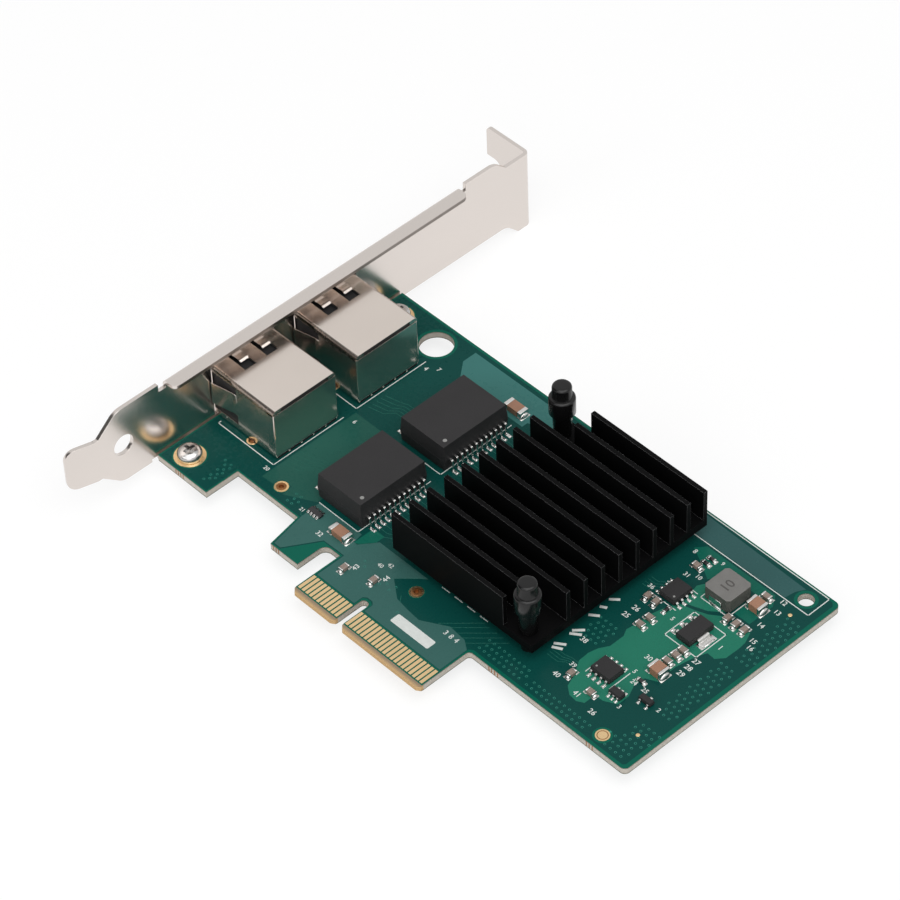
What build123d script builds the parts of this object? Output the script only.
from build123d import *
import os

# Low-profile network card on a full-height slot bracket, in millimetres.
# +X runs from the bracket to the far end of the board, +Y from the edge contacts to the top edge,
# +Z stands up from the component face. The origin is on the component face, at the tip of the
# contact edge, in the middle of the key notch.

# Circuit board
board_thick = 1.57
board_left = -56.4
board_right = 62.2
board_top = 68.9
board_corner_r = 1.2
left_edge_y = 5.1
left_edge_end_x = -42.35
recess_y = 13.1
recess_end_x = -25.15
hook_left_x = -23.7
hook_right_x = -16.2
hook_y = 4.95
slot_top_y = 12.05
slot_corner_r = 1.6
shoulder_y = 12.8
shoulder_r = 0.9
notch_wide = 1.9
notch_top_y = 7.8
tongue_corner = 0.7
tip_bevel_y = 1.15
tip_bevel_z = 0.35

# Edge contacts: one pad every millimetre on both faces, either side of the key notch
pad_pitch = 1.0
pad_wide = 0.7
pad_low_y = 1.2
pad_high_y = 5.3
pad_thick = 0.05
pads_before_key = 11
pads_after_key = 21
pad_edge_gap = 0.3
key_to_pad = 1.5
tongue_left = -key_to_pad - pad_pitch * (pads_before_key - 1) - pad_wide / 2 - pad_edge_gap
tongue_right = key_to_pad + pad_pitch * (pads_after_key - 1) + pad_wide / 2 + pad_edge_gap

# Holes in the board and the plated rings round them
far_hole = (56.75, 65.4)
far_hole_r = 1.6
large_hole = (-40.8, 63.6)
large_hole_r = 3.55
plated_holes = [(-33.3, 16.2), (4.7, 15.9)]
plated_hole_r = 0.55
plated_ring_r = 1.45
target_pad = (53.6, 15.8)
target_pad_r = 1.4
ring_sides = 24
hole_sides = 16

# Bracket, one folded sheet
sheet = 0.86
bracket_gap = 0.36
sheet_in_x = board_left - bracket_gap
sheet_out_x = sheet_in_x - sheet
body_low_z = -1.43
body_wide = 18.42
body_high_z = body_low_z + body_wide
body_mid_z = body_low_z + body_wide / 2
body_start_y = -3.3
tongue_start_y = -8.0
tongue_wide = 10.19
tongue_bend_y = -9.0
tongue_run = 6.3
tongue_angle = 16.0
tongue_corner_r = 2.4
tongue_hole_y = -2.3
tongue_hole_r = 2.3
fold_r = 0.5
tab_wide = 19.05
tab_drop = 3.23
tab_low_z = body_low_z - tab_drop
tab_high_z = tab_low_z + tab_wide
tab_top_y = 104.95
tab_reach = 11.0
tab_corner_r = 1.0
tab_notch_r = 2.21
tab_notch_in = 2.0
upper_step_y = 95.3
upper_step_end_y = 98.3
lower_step_y = 98.0
lower_step_end_y = 101.2
lip_start_y = 8.9
lip_end_y = 85.5
lip_reach = 2.9
lip_corner_r = 1.5
relief_wide = 1.7
relief_deep = 1.8
ear_wide = 7.4
ear_reach = 8.4
ear_fold_r = 0.3
ear_relief_deep = 1.75
port_clear = 0.2

# Screws that hold the bracket's ears under the board
screw_x = -51.9
low_screw_y = 9.3
screw_to_port = 6.35
screw_r = 1.4
screw_hole_clear = 0.2
ear_hole_clear = 0.02
screw_head_r = 2.5
screw_head_tall = 1.9
screw_edge = 0.55
screw_long = 4.1
screw_pad_r = 3.2
recess_wide = 0.7
recess_long = 2.6
recess_deep = 1.1

# Two shielded sockets
port_ys = [28.1, 49.4]
port_wide = 15.9
screw_ys = [low_screw_y, port_ys[1] + port_wide / 2 + screw_to_port]
port_tall = 12.9
port_front_x = sheet_out_x - 0.3
port_back_x = -39.0
shield_thick = 0.25
wrap_thick = 0.2
wrap_long = 2.1
flange_deep = 1.5
flange_front_x = -52.0
flange_slope_long = 3.2
shield_edge_r = 0.8
shield_gap = 0.05
shield_lift = 0.35
window_long = 5.4
window_wide = 2.8
window_x = -56.9
window_ys = [-2.5, 3.1]
finger_wide = 1.65
finger_long = 3.5
finger_rise = 0.25
finger_dip = 0.35
back_slot_side = 2.15
back_slot_wide = port_wide - 2 * back_slot_side
back_slot_tall = 0.5
spring_long = 6.5
spring_flare = 1.15
spring_low_z = 2.0
spring_top_drop = 1.3
spring_slot = 0.3
leg_wide = 1.3
leg_x = -46.5
leg_down = 2.6
leg_hole_r = 0.85
plug_side = 2.0
plug_wide = port_wide - 2 * plug_side
plug_low_z = 4.2
plug_roof = 1.5
plug_tall = port_tall - plug_roof - plug_low_z
plug_deep = 13.6
latch_side = 4.85
latch_wide = port_wide - 2 * latch_side
latch_drop = 1.5
key_wide = 3.3
key_drop = 2.6
wire_count = 8
wire_pitch = 1.02
wire_wide = 0.46
wire_thick = 0.3
wire_clear = 0.12
wire_roof_drop = 1.35
wire_roof_z = port_tall - wire_roof_drop
wire_front_x = -55.6
wire_tip_drop = 2.45
wire_tip = (-47.8, wire_roof_z - wire_tip_drop)
wire_well_long = 3.5
wire_tail_xs = [-41.9, -44.0]
wire_down = 2.8
tail_hole_r = 0.45
peg_r = 1.55
peg_x = -50.4
peg_side = 2.25
peg_apart = port_wide - 2 * peg_side
peg_clear = 0.08
peg_down = 3.0
light_wide = 2.9
light_tall = 1.5
light_long = 9.0
light_low_z = 1.3
light_side = 2.65
light_apart = port_wide - 2 * light_side
pocket_deep = 0.65

# Two isolation modules
module_mid_x = -20.3
module_ys = [27.85, 49.15]
module_wide = 12.3
module_long = 16.9
module_tall = 6.05
module_lift = 0.15
module_part_z = 2.7
module_draft = 4.0
module_lead_count = 12
module_pitch = 1.27
lead_wide = 0.46
lead_thick = 0.25
module_lead_reach = 1.95
module_foot = 1.05

# Controller chip under the finned heat sink
sink_left = -4.8
sink_right = 32.3
sink_low_y = 18.9
fin_count = 11
fin_pitch = 4.45
fin_thick = 0.95
fin_top_z = 11.7
base_thick = 1.9
fin_cut_long = 7.4
cut_fins = 2
sink_high_y = sink_low_y + fin_pitch * (fin_count - 1) + fin_thick
chip_side = 17.0
chip_tall = 1.9
chip_cap_side = 14.6
chip_step = 0.8
pad_tall = 0.6
base_low_z = chip_tall + pad_tall
base_high_z = base_low_z + base_thick

# Push pins that hold the heat sink
pin_spots = [(-2.6, 60.9), (29.0, 21.3)]
pin_cap_r = 1.95
pin_cap_top_z = 17.3
pin_collar_r = 2.65
pin_collar_low_z = 10.2
pin_collar_high_z = 14.4
pin_barrel_r = 2.0
pin_foot_r = 1.75
pin_shank_r = 1.5
pin_clear = 0.1
pin_barb_r = 1.75
pin_barb_long = 2.5
pin_barb_gap = 0.05
pin_split = 0.6
pin_cap_edge = 0.5
pin_collar_edge = 0.35

# Chips and other parts at the far end: middle X, middle Y
inductor_mid = (46.0, 55.8)
inductor_side = 6.5
inductor_tall = 3.05
inductor_lift = 0.15
terminal_wide = 3.0
terminal_tall = 2.1
terminal_foot = 1.5
regulator_mid = (48.2, 44.9)
regulator_size = (3.5, 6.5, 1.6)
regulator_pitch = 2.3
regulator_lead_wide = 0.7
regulator_tab_wide = 3.0
regulator_reach = 1.75
memory_mid = (38.9, 49.4)
driver_mid = (43.6, 26.9)
chip8_size = (3.9, 4.9, 1.5)
chip8_reach = 1.05
six_pin_mid = (48.7, 24.3)
six_pin_size = (1.6, 2.9, 1.1)
transistor_mid = (53.6, 26.9)
transistor_size = (1.3, 2.9, 1.0)
small_lead_pitch = 0.95
small_lead_reach = 0.55
chip_lift = 0.1
foot_thick = 0.2

# Chip capacitors and resistors: long, wide, tall, then middle X, middle Y and the way each lies
surge_size = (4.9, 3.0, 1.5)
surge_spots = [(-15.8, 15.6, "x"), (-16.4, 61.8, "x")]
large_size = (3.4, 2.6, 1.8)
large_spots = [(51.9, 57.4, "x"), (50.2, 33.4, "x")]
small_size = (2.0, 1.25, 0.95)
small_spots = [(51.4, 60.5, "x"), (49.6, 36.3, "x"), (49.7, 38.4, "x"), (49.8, 40.2, "x"),
               (50.0, 51.6, "y"), (52.1, 51.6, "y"), (54.2, 51.6, "y"), (39.8, 39.2, "x"),
               (39.9, 41.6, "x"), (35.8, 45.2, "y"), (37.9, 45.2, "y"), (36.9, 57.0, "x"),
               (39.4, 21.9, "y"), (45.2, 21.2, "x"), (-9.0, 10.2, "y"), (-2.8, 12.0, "y")]
resistor_size = (1.6, 0.8, 0.5)
resistor_spots = [(37.5, 58.8, "x"), (37.6, 60.3, "x"), (49.5, 29.7, "x"), (40.5, 45.3, "y")]
end_share = 0.2


def block(x0, x1, y0, y1, z0, z1):
    solid = Box(x1 - x0, y1 - y0, z1 - z0)
    return Pos((x0 + x1) / 2, (y0 + y1) / 2, (z0 + z1) / 2) * solid


def rod(x, y, z0, z1, radius):
    return Pos(x, y, (z0 + z1) / 2) * Cylinder(radius, z1 - z0)


def prism_xy(points, z0, z1):
    face = Plane.XY.offset(z0) * make_face(Polyline(*points, close=True))
    return extrude(face, amount=z1 - z0)


def prism_yz(points, x0, x1):
    face = Plane.YZ.offset(x0) * make_face(Polyline(*points, close=True))
    return extrude(face, amount=x1 - x0)


def prism_xz(points, y0, y1):
    face = Plane.XZ.offset(-y1) * make_face(Polyline(*points, close=True))
    return extrude(face, amount=y1 - y0)


def upright_edges(part, x, y, reach=0.05):
    found = part.edges().filter_by(Axis.Z)
    return [e for e in found if abs(e.center().X - x) < reach and abs(e.center().Y - y) < reach]


def group(parts):
    return Compound(children=list(parts))


def open_holes():
    holes = [(far_hole[0], far_hole[1], far_hole_r), (large_hole[0], large_hole[1], large_hole_r)]
    holes += [(screw_x, y, screw_r + screw_hole_clear) for y in screw_ys]
    return holes


def filled_holes():
    # a pin or a peg stands in each of these
    holes = [(x, y, pin_shank_r + pin_clear) for x, y in pin_spots]
    for mid in port_ys:
        holes += [(peg_x, mid + side * peg_apart / 2, peg_r + peg_clear) for side in (-1, 1)]
    return holes


def filled_hole(x, y, z0, z1, radius):
    # flat sides drawn round the circle, so that what fills the hole keeps its clearance
    outline = Pos(x, y, z0) * RegularPolygon(radius, hole_sides, major_radius=False)
    return extrude(outline, amount=z1 - z0)


def solder_holes():
    # small holes, most of them filled with solder, so eight sides are enough
    holes = [(x, y, plated_hole_r) for x, y in plated_holes]
    for mid in port_ys:
        holes += [(leg_x, mid + side * leg_mid_y(), leg_hole_r) for side in (-1, 1)]
        holes += [(wire_tail_xs[i % 2], wire_y(mid, i), tail_hole_r) for i in range(wire_count)]
    return holes


def leg_mid_y():
    return shield_half() - shield_thick / 2


def shield_half():
    # to the outside of the side walls, inside the rear cover's wraps and the roof's flanges
    return port_wide / 2 - wrap_thick


def wire_y(mid, index):
    return mid + (index - (wire_count - 1) / 2) * wire_pitch


def board_outline():
    return [(board_left, left_edge_y), (left_edge_end_x, left_edge_y), (left_edge_end_x, recess_y),
            (recess_end_x, recess_y), (hook_left_x, hook_y), (hook_right_x, hook_y),
            (hook_right_x, slot_top_y), (tongue_left, slot_top_y), (tongue_left, tongue_corner),
            (tongue_left + tongue_corner, 0), (-notch_wide / 2 - tongue_corner, 0),
            (-notch_wide / 2, tongue_corner), (-notch_wide / 2, notch_top_y),
            (notch_wide / 2, notch_top_y), (notch_wide / 2, tongue_corner),
            (notch_wide / 2 + tongue_corner, 0), (tongue_right - tongue_corner, 0),
            (tongue_right, tongue_corner), (tongue_right, shoulder_y), (board_right, shoulder_y),
            (board_right, board_top), (board_left, board_top)]


def circuit_board():
    board = prism_xy(board_outline(), -board_thick, 0)
    board = fillet(upright_edges(board, board_right, board_top), board_corner_r)
    board = fillet(upright_edges(board, board_right, shoulder_y), board_corner_r)
    board = fillet(upright_edges(board, hook_right_x, slot_top_y), slot_corner_r)
    board = fillet(upright_edges(board, tongue_right, shoulder_y), shoulder_r)
    notch_ends = upright_edges(board, -notch_wide / 2, notch_top_y)
    notch_ends += upright_edges(board, notch_wide / 2, notch_top_y)
    board = fillet(notch_ends, notch_wide / 2 - 0.05)
    low = -board_thick
    over = 1.0
    upper = [(-over, 0), (tip_bevel_y, 0), (tip_bevel_y, over), (-over, over)]
    upper[0] = (-over, -tip_bevel_z * (tip_bevel_y + over) / tip_bevel_y)
    lower = [(y, low - z) for y, z in upper]
    board -= prism_yz(upper, tongue_left - over, tongue_right + over)
    board -= prism_yz(lower, tongue_left - over, tongue_right + over)
    for x, y, radius in open_holes():
        board -= rod(x, y, -board_thick - over, over, radius)
    for x, y, radius in filled_holes():
        board -= filled_hole(x, y, -board_thick - over, over, radius)
    for x, y, radius in solder_holes():
        hole = Pos(x, y, -board_thick - over) * Rot(0, 0, 22.5) * RegularPolygon(radius, 8)
        board -= extrude(hole, amount=board_thick + 2 * over)
    return board


def pad_xs():
    before = [-key_to_pad - pad_pitch * i for i in range(pads_before_key)]
    after = [key_to_pad + pad_pitch * i for i in range(pads_after_key)]
    return before + after


def edge_contacts():
    pads = []
    low = -board_thick
    for x in pad_xs():
        pads.append(block(x - pad_wide / 2, x + pad_wide / 2, pad_low_y, pad_high_y, 0, pad_thick))
        pads.append(block(x - pad_wide / 2, x + pad_wide / 2, pad_low_y, pad_high_y, low - pad_thick, low))
    return group(pads)


def flat_ring(x, y, outer_r, hole_r, hole_sides):
    turn = 180 / hole_sides
    outer = Pos(x, y) * RegularPolygon(outer_r, ring_sides)
    inner = Pos(x, y) * Rot(0, 0, turn) * RegularPolygon(hole_r, hole_sides)
    return extrude(outer - inner, amount=pad_thick)


def plated_pads():
    rings = []
    for x, y in plated_holes:
        rings.append(flat_ring(x, y, plated_ring_r, plated_hole_r, 8))
    for y in screw_ys:
        rings.append(flat_ring(screw_x, y, screw_pad_r, screw_r + screw_hole_clear, ring_sides))
    target = Pos(*target_pad) * RegularPolygon(target_pad_r, ring_sides)
    rings.append(extrude(target, amount=pad_thick))
    return group(rings)


def bracket_plate():
    low = body_mid_z - tongue_wide / 2
    high = body_mid_z + tongue_wide / 2
    fold_y = tab_top_y - sheet - fold_r
    outline = [(body_start_y, body_low_z), (lower_step_y, body_low_z), (lower_step_end_y, tab_low_z),
               (fold_y, tab_low_z), (fold_y, tab_high_z), (upper_step_end_y, tab_high_z),
               (upper_step_y, body_high_z), (body_start_y, body_high_z), (tongue_start_y, high),
               (tongue_bend_y, high), (tongue_bend_y, low), (tongue_start_y, low)]
    return prism_yz(outline, sheet_out_x, sheet_in_x)


def bracket_tongue():
    low = body_mid_z - tongue_wide / 2
    high = body_mid_z + tongue_wide / 2
    flat = block(sheet_out_x, sheet_in_x, tongue_bend_y - tongue_run, tongue_bend_y, low, high)
    ends = flat.edges().filter_by(Axis.X).group_by(Axis.Y)[0]
    flat = fillet(ends, tongue_corner_r)
    hinge = Axis((sheet_in_x, tongue_bend_y, 0), (0, 0, 1))
    bent = flat.rotate(hinge, -tongue_angle)
    corner = rod(sheet_in_x, tongue_bend_y, low, high, sheet)
    keep = block(sheet_in_x - 2 * sheet, sheet_in_x, tongue_bend_y - 2 * sheet, tongue_bend_y, low, high)
    return bent + (corner & keep)


def bracket_tab():
    mid_x = sheet_out_x - fold_r
    mid_y = tab_top_y - sheet - fold_r
    bend = rod(mid_x, mid_y, tab_low_z, tab_high_z, sheet + fold_r)
    bend -= rod(mid_x, mid_y, tab_low_z - 1, tab_high_z + 1, fold_r)
    reach = sheet + fold_r
    bend = bend & block(mid_x, mid_x + reach, mid_y, mid_y + reach, tab_low_z, tab_high_z)
    end_x = sheet_out_x - tab_reach
    flat = block(end_x, mid_x, tab_top_y - sheet, tab_top_y, tab_low_z, tab_high_z)
    flat = fillet(flat.edges().filter_by(Axis.Y).group_by(Axis.X)[0], tab_corner_r)
    notch_z = (tab_low_z + tab_high_z) / 2
    centre_x = end_x + tab_notch_in
    hole = Pos(centre_x, tab_top_y, notch_z) * Rot(90, 0, 0) * Cylinder(tab_notch_r, 4 * sheet)
    gap = block(end_x - sheet, centre_x, tab_top_y - 2 * sheet, tab_top_y + sheet, notch_z - tab_notch_r,
                notch_z + tab_notch_r)
    return bend + (flat - hole - gap)


def bracket_lip():
    mid_x = sheet_in_x + fold_r
    mid_z = body_high_z - sheet - fold_r
    outer = sheet + fold_r
    long = lip_end_y - lip_start_y
    mid_y = (lip_start_y + lip_end_y) / 2
    bend = Pos(mid_x, mid_y, mid_z) * Rot(90, 0, 0) * Cylinder(outer, long)
    bend -= Pos(mid_x, mid_y, mid_z) * Rot(90, 0, 0) * Cylinder(fold_r, long + 2)
    bend = bend & block(mid_x - outer, mid_x, lip_start_y, lip_end_y, mid_z, body_high_z)
    end_x = sheet_in_x + lip_reach
    flat = block(mid_x, end_x, lip_start_y, lip_end_y, body_high_z - sheet, body_high_z)
    flat = fillet(flat.edges().filter_by(Axis.Z).group_by(Axis.X)[-1], lip_corner_r)
    return bend + flat


def bracket_ear(y):
    mid_x = sheet_in_x + ear_fold_r
    top_z = -board_thick
    mid_z = top_z + ear_fold_r
    outer = sheet + ear_fold_r
    low_y = y - ear_wide / 2
    high_y = y + ear_wide / 2
    bend = Pos(mid_x, y, mid_z) * Rot(90, 0, 0) * Cylinder(outer, ear_wide)
    bend -= Pos(mid_x, y, mid_z) * Rot(90, 0, 0) * Cylinder(ear_fold_r, ear_wide + 2)
    bend = bend & block(mid_x - outer, mid_x, low_y, high_y, mid_z - outer, mid_z)
    stem = block(sheet_out_x, sheet_in_x, low_y, high_y, mid_z, mid_z + 0.5)
    end_x = sheet_in_x + ear_reach
    flat = block(mid_x, end_x, low_y, high_y, top_z - sheet, top_z)
    flat = fillet(flat.edges().filter_by(Axis.Z).group_by(Axis.X)[-1], lip_corner_r)
    flat -= rod(screw_x, y, top_z - 2 * sheet, top_z + 1, screw_r + ear_hole_clear)
    return bend + stem + flat


def mounting_bracket():
    bracket = bracket_plate()
    fold_z = body_high_z - sheet - fold_r
    near_y = lip_start_y - relief_wide
    far_y = lip_end_y + relief_wide
    bracket -= block(sheet_out_x - 1, sheet_in_x + 1, lip_start_y, lip_end_y, fold_z, body_high_z + 1)
    relief_z = body_high_z - relief_deep
    bracket -= block(sheet_out_x - 1, sheet_in_x + 1, near_y, lip_start_y, relief_z, body_high_z + 1)
    bracket -= block(sheet_out_x - 1, sheet_in_x + 1, lip_end_y, far_y, relief_z, body_high_z + 1)
    for y in screw_ys:
        for side in (-1, 1):
            edge = y + side * ear_wide / 2
            low = min(edge, edge + side * relief_wide)
            high = max(edge, edge + side * relief_wide)
            cut = block(sheet_out_x - 1, sheet_in_x + 1, low, high, body_low_z - 1,
                        body_low_z + ear_relief_deep)
            bracket -= cut
    bracket += bracket_lip() + bracket_tab() + bracket_tongue()
    for y in screw_ys:
        bracket += bracket_ear(y)
    half = port_wide / 2 + port_clear
    for y in port_ys:
        bracket -= block(sheet_out_x - 1, sheet_in_x + 1, y - half, y + half, shield_lift - port_clear,
                         port_tall + port_clear)
    hole = Pos(sheet_in_x, tongue_hole_y, body_mid_z) * Rot(0, 90, 0)
    bracket -= hole * Cylinder(tongue_hole_r, 4 * sheet)
    return bracket


def bracket_screws():
    screws = []
    for y in screw_ys:
        low = pad_thick
        head = rod(screw_x, y, low, low + screw_head_tall, screw_head_r)
        head = chamfer(head.edges().group_by(Axis.Z)[-1], screw_edge)
        top = low + screw_head_tall
        for long, wide in ((recess_long, recess_wide), (recess_wide, recess_long)):
            head -= block(screw_x - long / 2, screw_x + long / 2, y - wide / 2, y + wide / 2,
                          top - recess_deep, top + 1)
        screws.append(head + rod(screw_x, y, low - screw_long, low, screw_r))
    return group(screws)


def shield_fingers(mid):
    fingers = []
    roof = port_tall
    for offset in window_ys:
        y = mid + offset
        start = window_x
        end = start + finger_long
        rise = roof + finger_rise
        dip = roof - finger_dip
        crest = start + finger_long * 0.4
        fall = start + finger_long * 0.7
        top = [(start - 0.1, roof), (crest, rise), (fall, rise), (end, dip), (end, dip - shield_thick),
               (fall, rise - shield_thick), (crest, rise - shield_thick), (start - 0.1, roof - shield_thick)]
        fingers.append(prism_xz(top, y - finger_wide / 2, y + finger_wide / 2))
    return fingers


def shield_spring(mid, side):
    wall = mid + side * shield_half()
    inner = wall - side * shield_thick
    front = sheet_in_x + 0.04
    back = front + spring_long
    out = wall + side * spring_flare
    points = [(back, wall), (front, out), (front, out - side * shield_thick), (back, inner)]
    return prism_xy(points, spring_low_z, port_tall - spring_top_drop)


def bare_side(mid, side):
    # what is taken off a side, so that the rear wrap and the roof's sloped flange stand proud of it
    wall = mid + side * shield_half()
    outer = mid + side * (port_wide / 2 + 1)
    front = port_front_x - 1
    back = port_back_x - wrap_long
    flange_z = port_tall - flange_deep
    outline = [(front, shield_lift - 1), (back, shield_lift - 1), (back, flange_z),
               (flange_front_x + flange_slope_long, flange_z), (flange_front_x, port_tall), (front, port_tall)]
    return prism_xz(outline, min(wall, outer), max(wall, outer))


def port_shield(mid):
    half = port_wide / 2
    shell = block(port_front_x, port_back_x, mid - half, mid + half, shield_lift, port_tall)
    top_edges = shell.edges().filter_by(Axis.X).group_by(Axis.Z)[-1]
    shell = fillet(top_edges, shield_edge_r)
    inner_half = shield_half() - shield_thick
    inner = block(port_front_x - 1, port_back_x - shield_thick, mid - inner_half, mid + inner_half,
                  shield_lift - 1, port_tall - shield_thick)
    inner_edges = inner.edges().filter_by(Axis.X).group_by(Axis.Z)[-1]
    shell -= fillet(inner_edges, shield_edge_r - shield_thick)
    for offset in window_ys:
        low = mid + offset - window_wide / 2
        shell -= block(window_x, window_x + window_long, low, low + window_wide,
                       port_tall - 1, port_tall + 1)
    slot = back_slot_wide / 2
    slot_low = port_tall - shield_thick - back_slot_tall
    shell -= block(port_back_x - 1, port_back_x + 1, mid - slot, mid + slot, slot_low,
                   slot_low + back_slot_tall)
    front = sheet_in_x + 0.04
    for side in (-1, 1):
        shell -= bare_side(mid, side)
        wall = mid + side * half
        low = min(wall, wall - side * 3 * shield_thick)
        cut = block(front - spring_slot, front + spring_long, low - 0.5, low + 3 * shield_thick + 0.5,
                    spring_low_z - spring_slot, port_tall - spring_top_drop + spring_slot)
        shell -= cut
        shell += shield_spring(mid, side)
        leg_y = mid + side * leg_mid_y()
        shell += block(leg_x - leg_wide / 2, leg_x + leg_wide / 2, leg_y - shield_thick / 2,
                       leg_y + shield_thick / 2, -leg_down, shield_lift + 0.5)
    for finger in shield_fingers(mid):
        shell += finger
    return shell


def housing_block(mid):
    half = shield_half() - shield_thick - shield_gap
    top = port_tall - shield_thick - shield_gap
    back = port_back_x - shield_thick - shield_gap
    body = block(port_front_x, back, mid - half, mid + half, 0, top)
    body = chamfer(body.edges().filter_by(Axis.X).group_by(Axis.Z)[-1], shield_edge_r)
    return body - block(port_front_x - 1, board_left, mid - half, mid + half, -1, shield_lift)


def port_housing(mid):
    body = housing_block(mid)
    front = port_front_x - 1
    deep = port_front_x + plug_deep
    half = plug_wide / 2
    body -= block(front, deep, mid - half, mid + half, plug_low_z, plug_low_z + plug_tall)
    low = plug_low_z - latch_drop
    body -= block(front, deep, mid - latch_wide / 2, mid + latch_wide / 2, low, plug_low_z + 1)
    low = plug_low_z - key_drop
    body -= block(front, deep, mid - key_wide / 2, mid + key_wide / 2, low, plug_low_z + 1)
    reach = wire_count * wire_pitch / 2 + 0.3
    roof_low = wire_roof_z - wire_thick - wire_clear
    roof_high = wire_roof_z + wire_clear
    groove_x = wire_front_x - wire_clear
    back_x = max(wire_tail_xs) + wire_thick + 0.5
    body -= block(groove_x, back_x, mid - reach, mid + reach, roof_low, roof_high)
    body -= block(groove_x, groove_x + wire_well_long, mid - reach, mid + reach, plug_low_z + plug_tall - 1,
                  roof_high)
    chamber = min(wire_tail_xs) - wire_thick - 0.2
    body -= block(max(chamber, deep - 0.2), back_x, mid - reach, mid + reach, -1, roof_high)
    for offset in window_ys:
        y = mid + offset
        pocket = window_wide / 2
        body -= block(window_x - 0.3, window_x + window_long, y - pocket, y + pocket,
                      port_tall - shield_thick - pocket_deep, port_tall)
    for side in (-1, 1):
        y = mid + side * light_apart / 2
        gap = shield_gap
        body -= block(front, port_front_x + light_long + gap, y - light_wide / 2 - gap,
                      y + light_wide / 2 + gap, light_low_z - gap, light_low_z + light_tall + gap)
        body += rod(peg_x, mid + side * peg_apart / 2, -peg_down, 0.2, peg_r)
    return body


def wire_path(tail_x):
    t = wire_thick
    roof = wire_roof_z
    front = wire_front_x
    tip_x, tip_z = wire_tip
    low = -wire_down
    return [(tail_x, low), (tail_x, roof - t), (front + t, roof - t), (front + t, roof - 2.2 * t),
            (tip_x, tip_z), (tip_x, tip_z - t), (front, roof - 3.3 * t), (front, roof),
            (tail_x + t, roof), (tail_x + t, low)]


def port_wires(mid):
    wires = []
    for i in range(wire_count):
        y = wire_y(mid, i)
        tail = wire_tail_xs[i % 2] - wire_thick / 2
        wires.append(prism_xz(wire_path(tail), y - wire_wide / 2, y + wire_wide / 2))
    return group(wires)


def port_lights(mid):
    lights = []
    for side in (-1, 1):
        y = mid + side * light_apart / 2
        lights.append(block(port_front_x, port_front_x + light_long, y - light_wide / 2,
                            y + light_wide / 2, light_low_z, light_low_z + light_tall))
    return group(lights)


def module_body(mid):
    seam = Plane.XY.offset(module_part_z) * Pos(module_mid_x, mid) * Rectangle(module_wide, module_long)
    upper = extrude(seam, amount=module_lift + module_tall - module_part_z, taper=module_draft)
    lower = extrude(seam, amount=-(module_part_z - module_lift), taper=module_draft)
    return upper + lower


def gull_lead(wall, reach, foot, top_z, thick, side):
    out = wall + side * (reach - foot)
    end = wall + side * reach
    return [(wall, top_z), (out, top_z), (out, foot_thick), (end, foot_thick), (end, 0),
            (out - side * thick, 0), (out - side * thick, top_z - thick), (wall, top_z - thick)]


def leads_along_y(mid, wide, count, pitch, lead, reach, foot, top_z, thick, sides=(-1, 1)):
    leads = []
    for side in sides:
        wall = mid[0] + side * wide / 2
        path = gull_lead(wall, reach, foot, top_z, thick, side)
        for i in range(count):
            y = mid[1] + (i - (count - 1) / 2) * pitch
            leads.append(prism_xz(path, y - lead / 2, y + lead / 2))
    return leads


def leads_along_x(mid, wide, count, pitch, lead, reach, foot, top_z, thick, sides=(-1, 1)):
    leads = []
    for side in sides:
        wall = mid[1] + side * wide / 2
        path = gull_lead(wall, reach, foot, top_z, thick, side)
        for i in range(count):
            x = mid[0] + (i - (count - 1) / 2) * pitch
            leads.append(prism_yz(path, x - lead / 2, x + lead / 2))
    return leads


def module_lead_group(mid):
    centre = (module_mid_x, mid)
    top = module_part_z + lead_thick / 2
    return group(leads_along_y(centre, module_wide, module_lead_count, module_pitch, lead_wide,
                               module_lead_reach, module_foot, top, lead_thick))


def sink_middle():
    return ((sink_left + sink_right) / 2, (sink_low_y + sink_high_y) / 2)


def controller_chip():
    x, y = sink_middle()
    half = chip_side / 2
    cap = chip_cap_side / 2
    base = block(x - half, x + half, y - half, y + half, 0, chip_step)
    return base + block(x - cap, x + cap, y - cap, y + cap, chip_step, chip_tall)


def thermal_pad():
    x, y = sink_middle()
    half = chip_cap_side / 2
    return block(x - half, x + half, y - half, y + half, chip_tall, base_low_z)


def heat_sink():
    sink = block(sink_left, sink_right, sink_low_y, sink_high_y, base_low_z, base_high_z)
    for i in range(fin_count):
        low = sink_low_y + fin_pitch * i
        start = sink_left
        end = sink_right
        if i < cut_fins:
            end = sink_right - fin_cut_long
        if i >= fin_count - cut_fins:
            start = sink_left + fin_cut_long
        sink += block(start, end, low, low + fin_thick, base_high_z, fin_top_z)
    for x, y in pin_spots:
        sink -= filled_hole(x, y, base_low_z - 1, base_high_z + 1, pin_shank_r + pin_clear)
    return sink


def push_pin_profile():
    # half of the pin's outline, from the split tip up to the cap
    tip = -board_thick - pin_barb_long
    return [(0, tip), (pin_shank_r * 0.6, tip), (pin_barb_r, -board_thick - pin_barb_gap),
            (pin_shank_r, -board_thick - pin_barb_gap), (pin_shank_r, base_high_z),
            (pin_foot_r, base_high_z), (pin_barrel_r, pin_collar_low_z),
            (pin_collar_r, pin_collar_low_z), (pin_collar_r, pin_collar_high_z - pin_collar_edge),
            (pin_collar_r - pin_collar_edge, pin_collar_high_z), (pin_cap_r, pin_collar_high_z),
            (pin_cap_r, pin_cap_top_z - pin_cap_edge), (pin_cap_r - pin_cap_edge, pin_cap_top_z),
            (0, pin_cap_top_z)]


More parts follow.
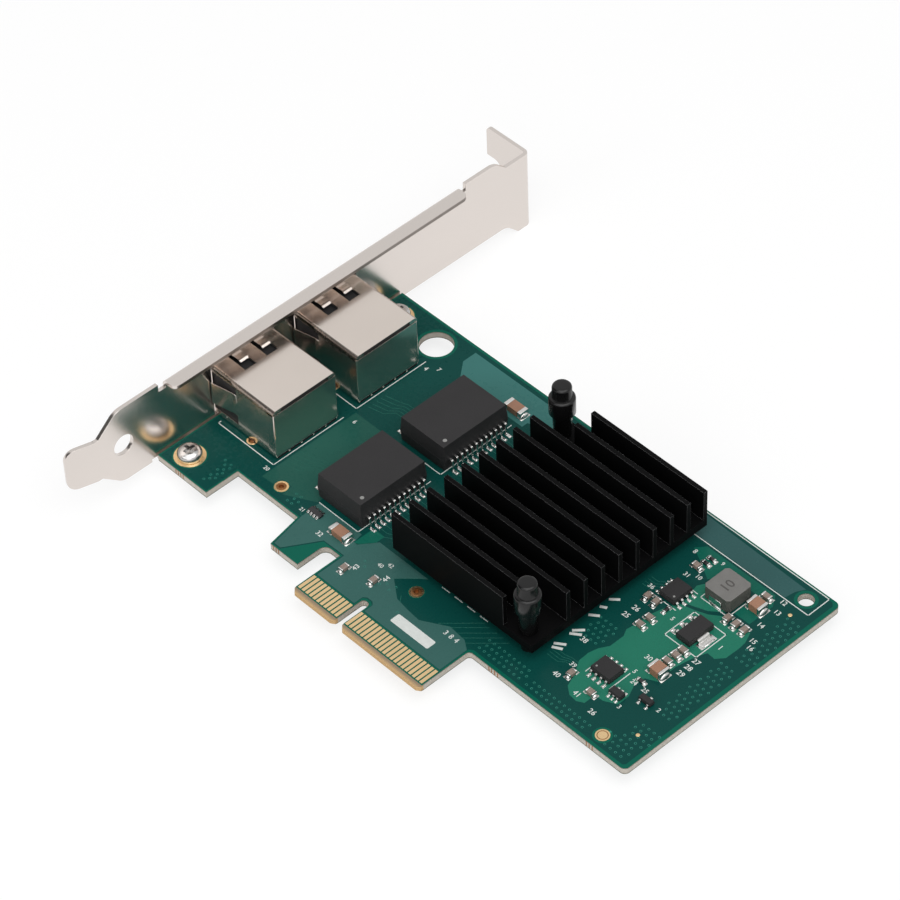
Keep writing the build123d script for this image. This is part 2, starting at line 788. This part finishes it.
def push_pin(x, y):
    # the rounds have flat sides, because the two pins have so many steps
    steps = []
    profile = push_pin_profile()
    for (low_r, low_z), (high_r, high_z) in zip(profile, profile[1:]):
        if high_z > low_z:
            ends = [Pos(0, 0, low_z) * RegularPolygon(low_r, ring_sides),
                    Pos(0, 0, high_z) * RegularPolygon(high_r, ring_sides)]
            steps.append(loft(ends, ruled=True))
    pin = steps[0].fuse(*steps[1:])
    low = -board_thick - pin_barb_long
    reach = pin_barb_r + pin_split
    slit = block(-pin_split / 2, pin_split / 2, -reach, reach, low - pin_split, -board_thick)
    return Pos(x, y, 0) * (pin - slit)


def push_pins():
    return group([push_pin(x, y) for x, y in pin_spots])


def inductor_core():
    x, y = inductor_mid
    half = inductor_side / 2
    body = block(x - half, x + half, y - half, y + half, inductor_lift, inductor_lift + inductor_tall)
    return chamfer(body.edges().filter_by(Axis.Z), 0.5)


def inductor_terminals():
    x, y = inductor_mid
    half = inductor_side / 2
    wide = terminal_wide / 2
    plates = []
    for side in (-1, 1):
        wall = y + side * half
        out = wall + side * lead_thick
        foot = wall - side * terminal_foot
        path = [(out, terminal_tall), (out, 0), (foot, 0), (foot, inductor_lift), (wall, inductor_lift),
                (wall, terminal_tall)]
        plates.append(prism_yz(path, x - wide, x + wide))
    return group(plates)


def chip_body(mid, size, lift=chip_lift):
    x, y = mid
    wide, long, tall = size
    seam = Plane.XY.offset(tall / 2) * Pos(x, y) * Rectangle(wide, long)
    upper = extrude(seam, amount=tall / 2, taper=7)
    return upper + extrude(seam, amount=-(tall / 2 - lift), taper=7)


def regulator_body():
    return chip_body(regulator_mid, regulator_size, 0.05)


def regulator_leads():
    wide, long, tall = regulator_size
    top = tall / 2 + lead_thick / 2
    pins = leads_along_y(regulator_mid, wide, 3, regulator_pitch, regulator_lead_wide, regulator_reach,
                         0.9, top, lead_thick, sides=(-1,))
    tab = leads_along_y(regulator_mid, wide, 1, 1, regulator_tab_wide, regulator_reach, 0.9, top,
                        lead_thick, sides=(1,))
    return group(pins + tab)


def memory_body():
    return chip_body(memory_mid, chip8_size)


def memory_leads():
    top = chip8_size[2] / 2 + lead_thick / 2
    return group(leads_along_y(memory_mid, chip8_size[0], 4, module_pitch, lead_wide, chip8_reach, 0.6,
                               top, lead_thick))


def driver_body():
    wide, long, tall = chip8_size
    return chip_body(driver_mid, (long, wide, tall))


def driver_leads():
    top = chip8_size[2] / 2 + lead_thick / 2
    return group(leads_along_x(driver_mid, chip8_size[0], 4, module_pitch, lead_wide, chip8_reach, 0.6,
                               top, lead_thick))


def six_pin_body():
    wide, long, tall = six_pin_size
    return chip_body(six_pin_mid, (long, wide, tall))


def six_pin_leads():
    top = six_pin_size[2] / 2 + lead_thick / 2
    return group(leads_along_x(six_pin_mid, six_pin_size[0], 3, small_lead_pitch, 0.4, small_lead_reach,
                               0.35, top, 0.18))


def transistor_body():
    wide, long, tall = transistor_size
    return chip_body(transistor_mid, (long, wide, tall))


def transistor_leads():
    top = transistor_size[2] / 2 + lead_thick / 2
    pair = leads_along_x(transistor_mid, transistor_size[0], 2, 2 * small_lead_pitch, 0.4,
                         small_lead_reach, 0.35, top, 0.18, sides=(-1,))
    single = leads_along_x(transistor_mid, transistor_size[0], 1, 1, 0.4, small_lead_reach, 0.35, top,
                           0.18, sides=(1,))
    return group(pair + single)


def chip_blocks(spots, size):
    long, wide, tall = size
    bodies = []
    ends = []
    trim = 0.04
    end = long * end_share
    for x, y, way in spots:
        half = long / 2 - end
        side = wide / 2 - trim
        cap = wide / 2
        if way == "x":
            bodies.append(block(x - half, x + half, y - side, y + side, trim, tall - trim))
            ends.append(block(x - long / 2, x - half, y - cap, y + cap, 0, tall))
            ends.append(block(x + half, x + long / 2, y - cap, y + cap, 0, tall))
        else:
            bodies.append(block(x - side, x + side, y - half, y + half, trim, tall - trim))
            ends.append(block(x - cap, x + cap, y - long / 2, y - half, 0, tall))
            ends.append(block(x - cap, x + cap, y + half, y + long / 2, 0, tall))
    return group(bodies), group(ends)


def chip_nodes():
    nodes = {}
    kinds = (("surge_capacitor", surge_spots, surge_size), ("large_capacitor", large_spots, large_size),
             ("small_capacitor", small_spots, small_size), ("resistor", resistor_spots, resistor_size))
    for name, spots, size in kinds:
        bodies, ends = chip_blocks(spots, size)
        nodes[name + "_bodies"] = bodies
        nodes[name + "_ends"] = ends
    return nodes


def all_nodes():
    nodes = {
        "circuit_board": circuit_board(),
        "edge_contacts": edge_contacts(),
        "plated_pads": plated_pads(),
        "mounting_bracket": mounting_bracket(),
        "bracket_screws": bracket_screws(),
        "controller_chip": controller_chip(),
        "thermal_pad": thermal_pad(),
        "heat_sink": heat_sink(),
        "push_pins": push_pins(),
        "inductor_core": inductor_core(),
        "inductor_terminals": inductor_terminals(),
        "regulator_body": regulator_body(),
        "regulator_leads": regulator_leads(),
        "memory_chip_body": memory_body(),
        "memory_chip_leads": memory_leads(),
        "driver_chip_body": driver_body(),
        "driver_chip_leads": driver_leads(),
        "six_pin_chip_body": six_pin_body(),
        "six_pin_chip_leads": six_pin_leads(),
        "transistor_body": transistor_body(),
        "transistor_leads": transistor_leads(),
    }
    for number, mid in enumerate(port_ys, start=1):
        nodes[f"port_{number}_shield"] = port_shield(mid)
        nodes[f"port_{number}_housing"] = port_housing(mid)
        nodes[f"port_{number}_wires"] = port_wires(mid)
        nodes[f"port_{number}_lights"] = port_lights(mid)
    for number, mid in enumerate(module_ys, start=1):
        nodes[f"module_{number}_body"] = module_body(mid)
        nodes[f"module_{number}_leads"] = module_lead_group(mid)
    nodes.update(chip_nodes())
    return nodes


os.makedirs("parts", exist_ok=True)
for node_name, shape in all_nodes().items():
    shape.label = node_name
    export_step(shape, f"parts/{node_name}.step")
    box = shape.bounding_box()
    print(node_name, len(shape.solids()), [round(v, 2) for v in (*box.min, *box.max)])
